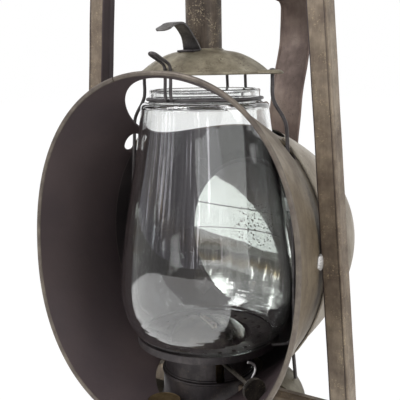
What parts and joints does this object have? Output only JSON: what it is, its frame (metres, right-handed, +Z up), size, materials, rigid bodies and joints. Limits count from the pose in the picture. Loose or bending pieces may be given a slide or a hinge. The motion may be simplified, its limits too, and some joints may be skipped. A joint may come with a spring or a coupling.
{
  "type": "railroad inspector lantern",
  "caption": "Oil inspector's lantern: tall clear globe in a deep oval hood with a concave mirror behind, side air tubes, lifting bell, rear strap handle and wire bail.",
  "frame": {"origin": "centre of the tank's flat underside, on the globe's axis", "axes": "+Z up along the globe's axis, -Y towards the open front of the hood, +X to the right seen from the front"},
  "size_m": [0.2206, 0.2184, 0.376],
  "materials": {
    "tank_tin": "tinplate with a dark olive-brown patina",
    "tube_tin": "mottled brown tinplate with ochre stains",
    "bell_tin": "heat-stained olive tinplate",
    "bowl_tin": "grey-brown tinplate, rubbed",
    "hood_tin": "blackened brown, matt",
    "strap_tin": "brown tinplate with dark folded edges",
    "dark_tin": "dark brown patina",
    "rim_steel": "dark grey, worn",
    "dark_wire": "dark steel wire",
    "bright_wire": "bright tinned wire",
    "solder": "dull grey solder",
    "aged_brass": "tarnished brass",
    "silvered_mirror": "silvered, speckled where the silver has gone",
    "globe_glass": "clear glass with a faint green tint",
    "cotton_wick": "woven cotton",
    "seal": "dark sealing washer"
  },
  "bodies": {
    "frame": {"tank_bottom": "tank_tin", "tank_shell": "tank_tin", "burner_ring": "aged_brass", "filler_neck": "tank_tin", "lower_collar": "dark_tin", "bowl_saddle": "tank_tin", "left_air_tube": "tube_tin", "right_air_tube": "tube_tin", "top_hub": "tube_tin", "top_cap": "tube_tin", "chimney": "bell_tin", "bail_ears": "dark_tin", "hood_band": "hood_tin", "hood_rim_wire": "rim_steel", "hood_seam": "hood_tin", "reflector_bowl": "bowl_tin", "reflector_mirror": "silvered_mirror", "mirror_ring": "dark_tin", "mirror_lugs": "dark_tin", "bowl_braces": "dark_wire", "hood_joints": "solder", "rear_handle": "strap_tin", "handle_rivets": "strap_tin", "burner_body": "aged_brass", "burner_gallery": "aged_brass", "wick_tube": "aged_brass", "burner_cone": "aged_brass", "shaft_eye": "bright_wire"},
    "lift": {"bell": "bell_tin", "bell_ears": "bell_tin", "left_guard_wire": "dark_wire", "right_guard_wire": "dark_wire", "back_guard_wire": "dark_wire", "globe_plate": "dark_tin", "globe": "globe_glass", "catch_foot": "dark_tin", "neck_clip": "dark_wire"},
    "catch": {"thumb_catch": "dark_tin"},
    "bail": {"bail": "dark_wire"},
    "wick_drive": {"wick_shaft": "aged_brass", "spur_wheels": "aged_brass", "wick_knob": "aged_brass"},
    "wick": {"wick": "cotton_wick"},
    "gasket": {"filler_gasket": "seal"},
    "cap": {"filler_cap": "aged_brass"}
  },
  "joints": [
    {"name": "globe_lift", "type": "slide", "parent": "frame", "child": "lift", "axis": [0, 0, 1], "range_m": [0, 0.035]},
    {"name": "catch_press", "type": "hinge", "parent": "lift", "child": "catch", "pos_m": [0, -0.0142, 0.2966], "axis": [1, 0, 0], "range_deg": [0, 8], "stiffness_Nm_per_rad": 0.2, "springref_deg": -2.86},
    {"name": "bail_swing", "type": "hinge", "parent": "frame", "child": "bail", "pos_m": [0, -0.0038, 0.3448], "axis": [1, 0, 0], "range_deg": [0, 232]},
    {"name": "wick_turn", "type": "hinge", "parent": "frame", "child": "wick_drive", "pos_m": [-0.00292, -0.0046, 0.0887], "axis": [0.8443, -0.5358, 0], "range_deg": [-70, 70]},
    {"name": "wick_raise", "type": "slide", "parent": "frame", "child": "wick", "axis": [0, 0, 1], "range_m": [-0.005, 0.005]},
    {"name": "cap_lift", "type": "slide", "parent": "frame", "child": "gasket", "axis": [0, 0, 1], "range_m": [0, 0.006]},
    {"name": "cap_turn", "type": "hinge", "parent": "gasket", "child": "cap", "pos_m": [-0.008, -0.0435, 0.058], "axis": [0, 0, 1], "range_deg": [0, 720]}
  ],
  "couplings": [
    {"joint": "wick_raise", "follows": "wick_turn", "m_per_rad": 0.00405},
    {"joint": "cap_lift", "follows": "cap_turn", "m_per_rad": 0.000477}
  ]
}
